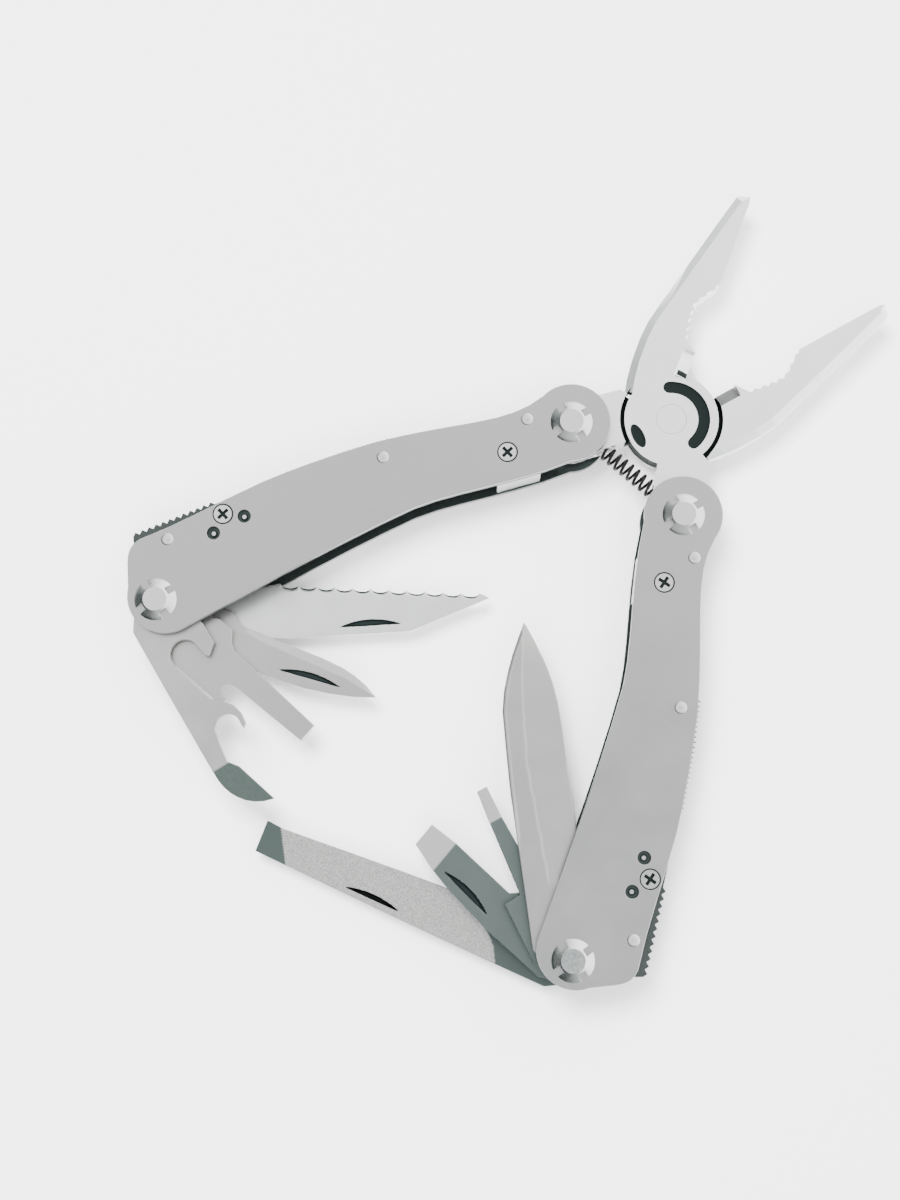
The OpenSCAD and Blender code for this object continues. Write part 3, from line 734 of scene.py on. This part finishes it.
def make_small_driver():
    """Narrow flat driver whose dark shank steps in from its base and whose tip is ground bright."""
    tip = 37.4
    edges = base_disc([(0, -4), (3, -4.4), (14, -4.4), (18, -1.3), (tip - 6.5, -0.9), (tip, -1.1)],
                      [(0, BASE_RADIUS), (3, 6.9), (15.55, 6.6), (15.65, 3.0), (tip - 6, 1.7), (tip, 1.1)])
    thickness, ground = ground_tip(30.6, 0.3, tip, 0.55)
    make_implement("small_driver", "right", "driver", "driver_steel", (-BASE_RADIUS, tip, edges), thickness,
                   masks={"ground": ground, "dark": nothing})


def make_large_driver():
    """Wide flat driver with a dark shank, a nail nick and a bright ground tip."""
    tip = 37.8
    edges = base_disc([(0, -4), (3, -4.4), (15, -4.4), (17.5, -2), (tip - 6, -2.7), (tip, -2.5)],
                      [(0, BASE_RADIUS), (3, 6.8), (16, 6.4), (27.3, 5.1), (tip - 5.5, 4.2), (tip, 2.6)])
    thickness, ground = ground_tip(31.6, 0.3, tip, 0.6)
    make_implement("large_driver", "right", "driver", "driver_steel", (-BASE_RADIUS, tip, edges), thickness,
                   [nick(17.7, 4.2, 30.3, 3.1, -1.3)],
                   {"ground": ground, "dark": in_nick}, step=0.25)


def make_file():
    """Crosscut file: its teeth start along a curve near the pivot and end before a plain tip."""
    tip = 65.9
    edges = base_disc([(0, -4), (3, -4.4), (14, -4.4), (28, -3.9), (38, -3.7), (62.6, -2.8),
                       (65.2, -3.1), (tip, -3.1)],
                      [(0, BASE_RADIUS), (3, 6.9), (13.5, 6.4), (34, 5.3), (tip, 3.3)])

    def teeth(x, w, low, high, dip):
        start = np.interp(w, [-4.4, 1, 3.4, 6.4], [19.0, 17.2, 15.0, 13.5])
        end = np.interp(w, [-3, 3.5], [63.0, 59.3])
        return ((x > start) & (x < end)) * 1.0

    def thickness(x, w, low, high):
        return 1 - 0.35 * np.clip((x - 61) / 5, 0, 1)

    make_implement("file", "right", "file", "file_steel", (-BASE_RADIUS, tip, edges), thickness,
                   [nick(34.4, 4.0, 47.1, 3.4, -1.1)],
                   {"ground": teeth, "dark": in_nick}, step=0.25)


# ------------------------------------------------------------------ spring and rivets

def make_spring(side):
    """Half of the coil: a circle of wire carried along a helix whose axis is X.

    Each half is built rigid; the tang presses on its outer end."""
    s = sizes()
    lo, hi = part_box("return_spring")
    centre = (lo + hi) / 2 / MM
    reach = (hi.x - lo.x) / 2 / MM - s.wire_radius
    turns, mean = s.coil_turns / 2, s.coil_radius - s.wire_radius
    t = np.linspace(0, 1, int(turns * 28) + 1)[:, None]
    angle = 2 * math.pi * turns * t
    sign = 1 if side == "right" else -1
    ring = np.arange(12) * 2 * math.pi / 12
    radius = mean + s.wire_radius * np.cos(ring)
    x = centre.x + sign * reach * t + s.wire_radius * np.sin(ring)
    y = centre.y + radius * np.cos(sign * angle)
    z = centre.z + radius * np.sin(sign * angle)
    points = np.stack([x, y, z], -1) * MM
    obj = new_piece("return_spring_" + side, points, ring_faces(*points.shape[:2]), 60)
    hand_in(obj, "rivet", "spring_steel", "wire", "return_spring")
    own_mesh(obj)


def make_rivets(hand):
    """Low round domes on both covers: a profile that is a circle's cap, turned about its axis."""
    plane = handle_plane(hand)
    lo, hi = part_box(hand + "_rivets")
    radius = sizes().dome_radius
    rise = (hi.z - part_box(hand + "_front_cover")[1].z) / MM
    a = np.linspace(0, 1, 7)
    radii = np.concatenate([[0.8, 0.8], radius * np.cos(a * math.pi / 2 * 0.999)])
    parts = []
    for spot in RIVETS:
        for sign, face in ((1, hi.z / MM - rise), (-1, lo.z / MM + rise)):
            heights = np.concatenate([[-2.0, 0.0], rise * np.sin(a * math.pi / 2)])
            parts.append(turned_shape(plane, spot, radii, face + sign * heights, 28))
    obj = new_piece(hand + "_rivet_domes", *joined(parts), smooth_deg=50)
    hand_in(obj, hand + "_handle", "rivet_steel", "dome", hand + "_rivets")


# ------------------------------------------------------------------ stage

def make_stage():
    """A pale table, a high key light from the camera's upper left, and a camera above the tool."""
    world = bpy.data.worlds.new("Studio")
    bpy.context.scene.world = world
    world.use_nodes = True
    tree = world.node_tree
    back = tree.nodes["Background"]
    direction = Socket(tree, tree.nodes.new("ShaderNodeTexCoord").outputs["Generated"])
    up = direction.axis("Z")
    side = direction.axis("X") * 0.44 + direction.axis("Y") * 1.03
    low = side.between(-0.75, 0.75)
    walls = low.between(0.0, 0.5).blend((0.02, 0.03, 0.03, 1), (0.40, 0.44, 0.43, 1))
    walls = low.between(0.5, 1.0).blend(walls, (1.7, 1.7, 1.7, 1))
    sky = up.between(0.45, 0.88).blend(walls, (1.0, 1.0, 1.0, 1))
    sky = up.between(0.978, 0.998).blend(sky, (0.10, 0.14, 0.15, 1))
    direction._plug(back.inputs["Color"], sky)
    back.inputs["Strength"].default_value = 2.3

    half = 0.9
    corners = [(-half, -half, 0), (half, -half, 0), (half, half, 0), (-half, half, 0)]
    mesh = bpy.data.meshes.new("table")
    mesh.from_pydata(corners, [], [(0, 1, 2, 3)])
    table = bpy.data.objects.new("table", mesh)
    bpy.context.scene.collection.objects.link(table)
    paper, shader, spot = new_material("Pale table", metallic=0.0)
    fibre = spot.noise(0.8, 2.0, 0.5)
    tone = fibre.between(0.2, 0.8).blend((0.93, 0.93, 0.93, 1), (0.95, 0.95, 0.95, 1))
    finish_with(spot, shader, tone, 0.9)
    mesh.materials.append(paper)

    # The camera stands 385 mm over the table, tilted 8.4 degrees off straight down.
    camera_data = bpy.data.cameras.new("Camera")
    camera_data.sensor_width = 36.0
    camera_data.lens = 57.0
    camera = bpy.data.objects.new("Camera", camera_data)
    bpy.context.scene.collection.objects.link(camera)
    camera.location = Vector((30.44, -58.34, 385.0)) * MM
    camera.rotation_euler = [math.radians(angle) for angle in (8.383, 0.895, 40.636)]
    bpy.context.scene.camera = camera

    lamps = (("Key", (-0.22, 0.04, 0.66), 0.26, 14.0), ("Fill", (0.25, -0.35, 0.7), 0.6, 7.0))
    for name, where, size, power in lamps:
        light = bpy.data.lights.new(name, "AREA")
        light.size, light.energy = size, power
        lamp = bpy.data.objects.new(name, light)
        bpy.context.scene.collection.objects.link(lamp)
        lamp.location = where
        lamp.rotation_mode = "QUATERNION"
        lamp.rotation_quaternion = (-Vector(where)).to_track_quat("-Z", "Y")
        lamp.visible_glossy = False


# ------------------------------------------------------------------ operators

class MULTITOOL_OT_stage(bpy.types.Operator):
    """Makes the table, the lights and the camera"""
    bl_idname = "multitool.stage"
    bl_label = "Make the stage"

    def execute(self, context):
        make_stage()
        return {"FINISHED"}


class MULTITOOL_OT_handles(bpy.types.Operator):
    """Finishes the covers, liners and neck blocks"""
    bl_idname = "multitool.handles"
    bl_label = "Finish the handles"

    def execute(self, context):
        rounding = sizes().edge_round
        for hand in ("left", "right"):
            for side in ("front", "back"):
                dress(f"{hand}_{side}_cover", "cover", rounding)
                dress(f"{hand}_{side}_liner", "liner")
            dress(hand + "_neck_block", "plain", 0.1)
        return {"FINISHED"}


class MULTITOOL_OT_fasteners(bpy.types.Operator):
    """Finishes the pivot bolts, washers, screws and pins, and makes the rivet domes"""
    bl_idname = "multitool.fasteners"
    bl_label = "Finish the fasteners"

    def execute(self, context):
        for hand in ("left", "right"):
            for node in ("jaw_bolt", "jaw_nut", "tool_bolt", "tool_nut"):
                dress(f"{hand}_{node}", "bolt", 0.12)
            for node in ("neck_washers", "tool_washers"):
                dress(f"{hand}_{node}", "plain")
            for node in ("lock_screw", "neck_screws"):
                dress(f"{hand}_{node}", "screw", 0.06)
            dress(hand + "_lock_pins", "pin", 0.15)
            make_rivets(hand)
        return {"FINISHED"}


class MULTITOOL_OT_pliers(bpy.types.Operator):
    """Finishes the jaws and their rivet, and makes the return spring"""
    bl_idname = "multitool.pliers"
    bl_label = "Finish the pliers"

    def execute(self, context):
        dress("left_jaw", "jaw", 0.12)
        dress("right_jaw", "right_jaw", 0.12)
        dress("pliers_rivet", "jaw")
        for side in ("left", "right"):
            make_spring(side)
        return {"FINISHED"}


class MULTITOOL_OT_lock_bars(bpy.types.Operator):
    """Finishes the two toothed lock bars"""
    bl_idname = "multitool.lock_bars"
    bl_label = "Finish the lock bars"

    def execute(self, context):
        for hand in ("left", "right"):
            dress(hand + "_lock_bar", "lock", 0.08)
        return {"FINISHED"}


class MULTITOOL_OT_blades(bpy.types.Operator):
    """Makes the knife, the serrated blade and the pen blade"""
    bl_idname = "multitool.blades"
    bl_label = "Make the blades"

    def execute(self, context):
        make_knife()
        make_serrated()
        make_pen()
        return {"FINISHED"}


class MULTITOOL_OT_drivers(bpy.types.Operator):
    """Makes the drivers and the file, and finishes the opener"""
    bl_idname = "multitool.drivers"
    bl_label = "Make the drivers, the file and the opener"

    def execute(self, context):
        make_small_driver()
        make_large_driver()
        make_file()
        dress("can_opener", "opener", 0.12)
        dress("flat_driver", "flat", 0.12)
        return {"FINISHED"}


class MULTITOOL_PT_panel(bpy.types.Panel):
    """Settings and steps of the multi tool"""
    bl_idname = "MULTITOOL_PT_panel"
    bl_label = "Multi Tool"
    bl_space_type = "VIEW_3D"
    bl_region_type = "UI"
    bl_category = "Multi Tool"

    def draw(self, context):
        for group in (context.scene.multitool_finishes, context.scene.multitool_sizes):
            for key in group.__annotations__:
                self.layout.prop(group, key)
        for step in STEPS:
            self.layout.operator(step.bl_idname)


STEPS = (MULTITOOL_OT_stage, MULTITOOL_OT_handles, MULTITOOL_OT_fasteners, MULTITOOL_OT_pliers,
         MULTITOOL_OT_lock_bars, MULTITOOL_OT_blades, MULTITOOL_OT_drivers)
CLASSES = (MULTITOOL_PG_finishes, MULTITOOL_PG_sizes, *STEPS, MULTITOOL_PT_panel)


def register():
    for cls in CLASSES:
        bpy.utils.register_class(cls)
    bpy.types.Scene.multitool_finishes = bpy.props.PointerProperty(type=MULTITOOL_PG_finishes)
    bpy.types.Scene.multitool_sizes = bpy.props.PointerProperty(type=MULTITOOL_PG_sizes)


def unregister():
    del bpy.types.Scene.multitool_finishes
    del bpy.types.Scene.multitool_sizes
    for cls in reversed(CLASSES):
        bpy.utils.unregister_class(cls)


def main():
    register()
    for step in STEPS:
        area, name = step.bl_idname.split(".")
        getattr(getattr(bpy.ops, area), name)()


if __name__ == "__main__":
    main()
